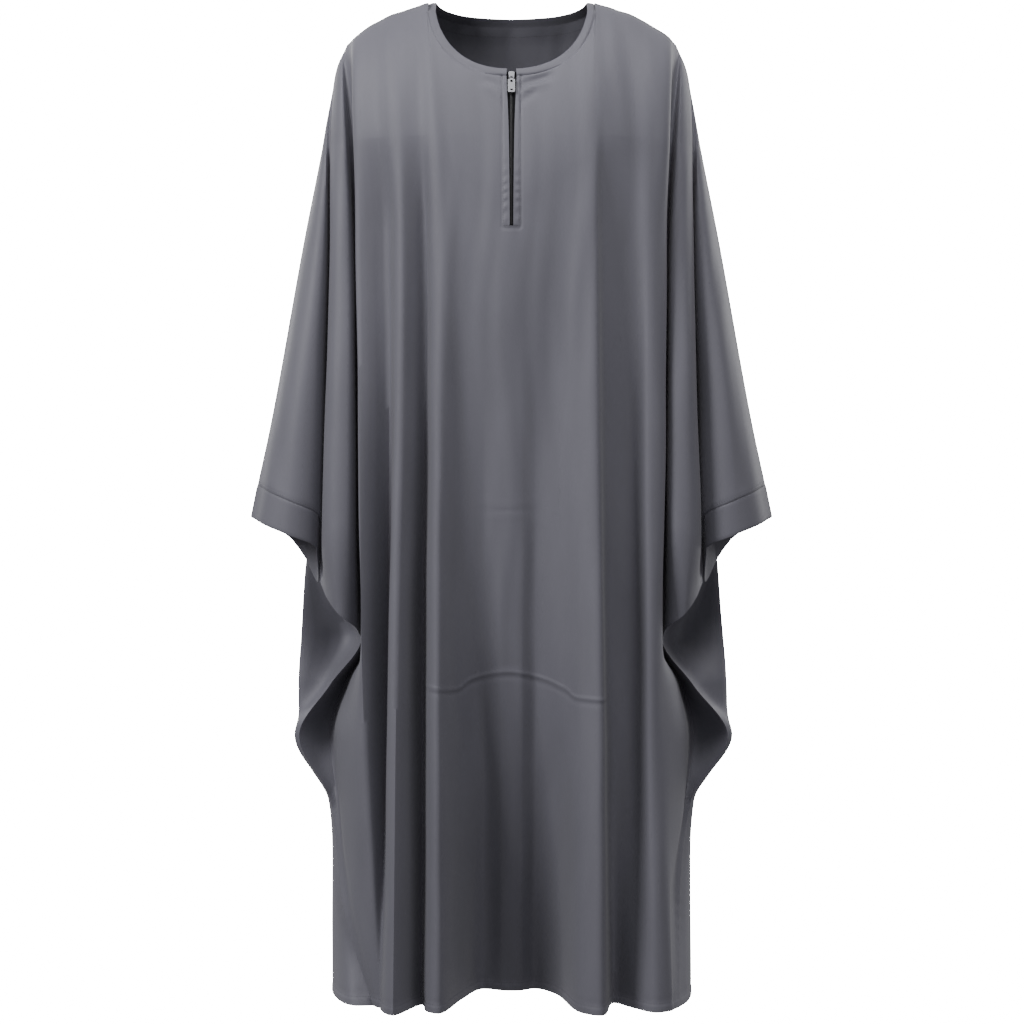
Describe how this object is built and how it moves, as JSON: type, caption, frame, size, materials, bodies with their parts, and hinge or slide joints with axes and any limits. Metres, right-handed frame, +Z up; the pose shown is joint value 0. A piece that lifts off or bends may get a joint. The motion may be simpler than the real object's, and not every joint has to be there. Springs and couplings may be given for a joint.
{
  "type": "kaftan",
  "caption": "Long loose kaftan with batwing sleeves, deep cuff bands, a round banded neck and a short zip with a hanging pull tab at the front.",
  "frame": {"origin": "midway between the two shoulder seams' neck ends, where the garment rests on the wearer's shoulders", "axes": "+Z up; the front, with the zip, faces -Y; +X is the wearer's left"},
  "size_m": [0.712, 0.299, 1.3508],
  "materials": {
    "cloth": "soft matt weave with a faint sheen",
    "band_cloth": "soft matt weave with a faint sheen",
    "tape": "matt black woven tape",
    "zip_metal": "dark polished plating"
  },
  "bodies": {
    "garment": {"front_panel": "cloth", "back_panel": "cloth", "neckband": "band_cloth", "cuff_left": "band_cloth", "cuff_right": "band_cloth", "zip_tape_left": "tape", "zip_tape_right": "tape", "zip_slider": "zip_metal"},
    "pull": {"zip_pull": "zip_metal"}
  },
  "joints": [
    {"name": "pull_hinge", "type": "hinge", "parent": "garment", "child": "pull", "pos_m": [0, -0.11223, -0.12369], "axis": [-1, 0, 0], "range_deg": [0, 160]}
  ]
}
